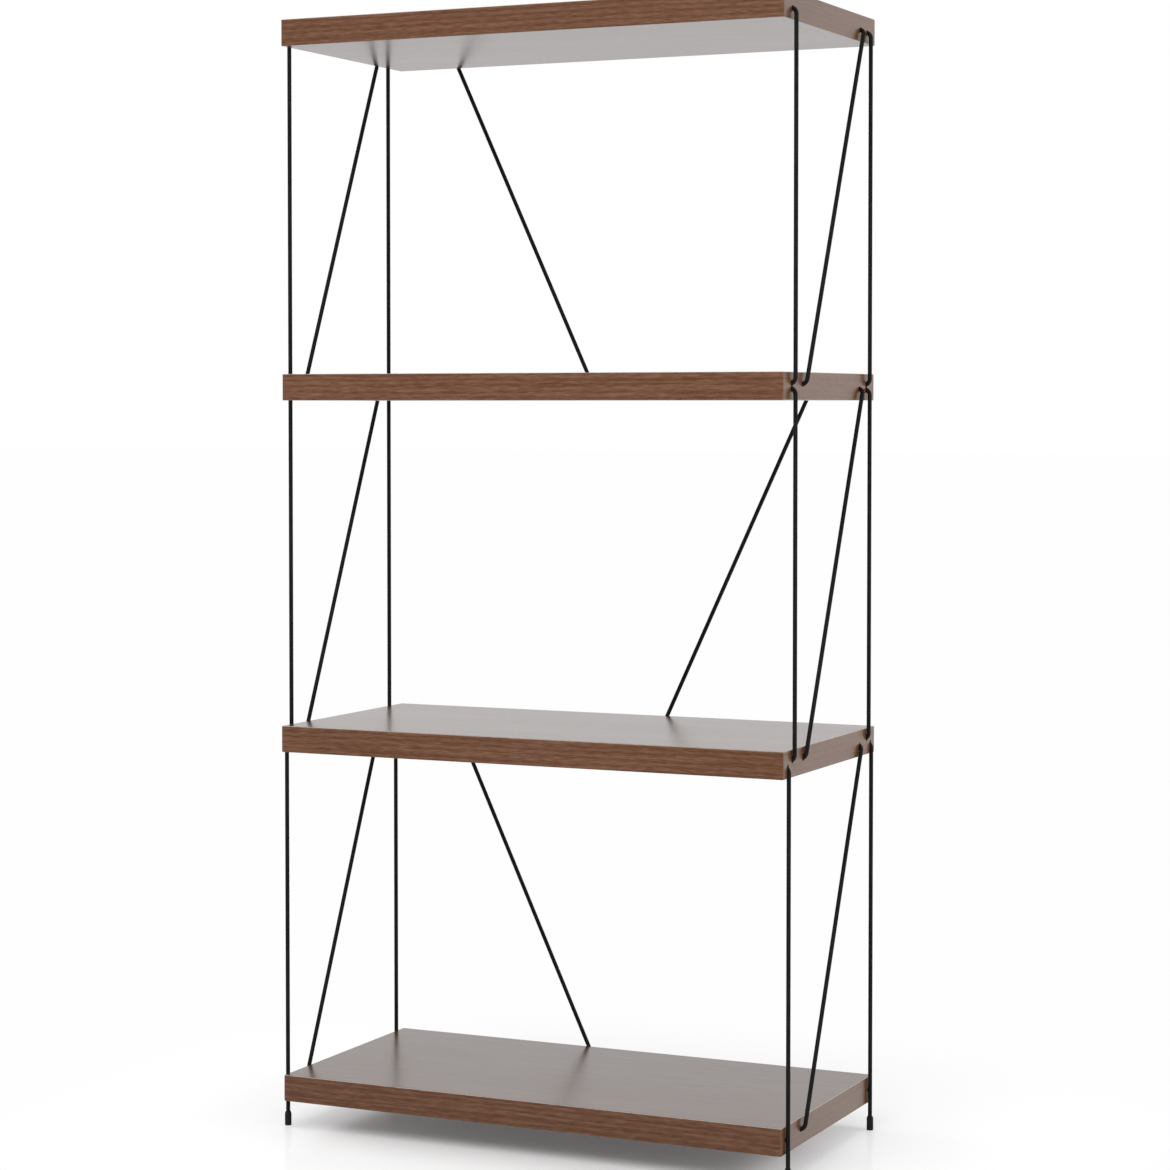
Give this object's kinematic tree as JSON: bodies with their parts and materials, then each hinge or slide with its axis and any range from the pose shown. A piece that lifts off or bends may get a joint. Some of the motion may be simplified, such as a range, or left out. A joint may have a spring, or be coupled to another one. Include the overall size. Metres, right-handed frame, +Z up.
{
  "type": "industrial bookshelf",
  "caption": "Free-standing open bookshelf: four thick walnut boards hung one above the other on thin bent black steel rods, with slanting braces at the ends and back.",
  "frame": {"origin": "on the floor, under the middle of the whole shelf's outline", "axes": "+Z up, +X to the right along the front, -Y out of the front"},
  "size_m": [0.7886, 0.371, 1.601],
  "materials": {
    "walnut": "satin walnut laminate",
    "black_steel": "satin black powder coat",
    "black_rubber": "smooth black moulded rubber"
  },
  "bodies": {
    "root": {"shelf_top": "walnut", "shelf_upper": "walnut", "shelf_lower": "walnut", "shelf_bottom": "walnut", "upright_top_front_left": "black_steel", "upright_top_front_right": "black_steel", "upright_top_back_left": "black_steel", "upright_top_back_right": "black_steel", "upright_middle_front_left": "black_steel", "upright_middle_front_right": "black_steel", "upright_middle_back_left": "black_steel", "upright_middle_back_right": "black_steel", "leg_front_left": "black_steel", "leg_front_right": "black_steel", "leg_back_left": "black_steel", "leg_back_right": "black_steel", "side_brace_top_left": "black_steel", "side_brace_top_right": "black_steel", "side_brace_middle_left": "black_steel", "side_brace_middle_right": "black_steel", "side_brace_bottom_left": "black_steel", "side_brace_bottom_right": "black_steel", "back_brace_top": "black_steel", "back_brace_middle": "black_steel", "back_brace_bottom": "black_steel", "foot_cap_front_left": "black_rubber", "foot_cap_front_right": "black_rubber", "foot_cap_back_left": "black_rubber", "foot_cap_back_right": "black_rubber"}
  },
  "joints": []
}
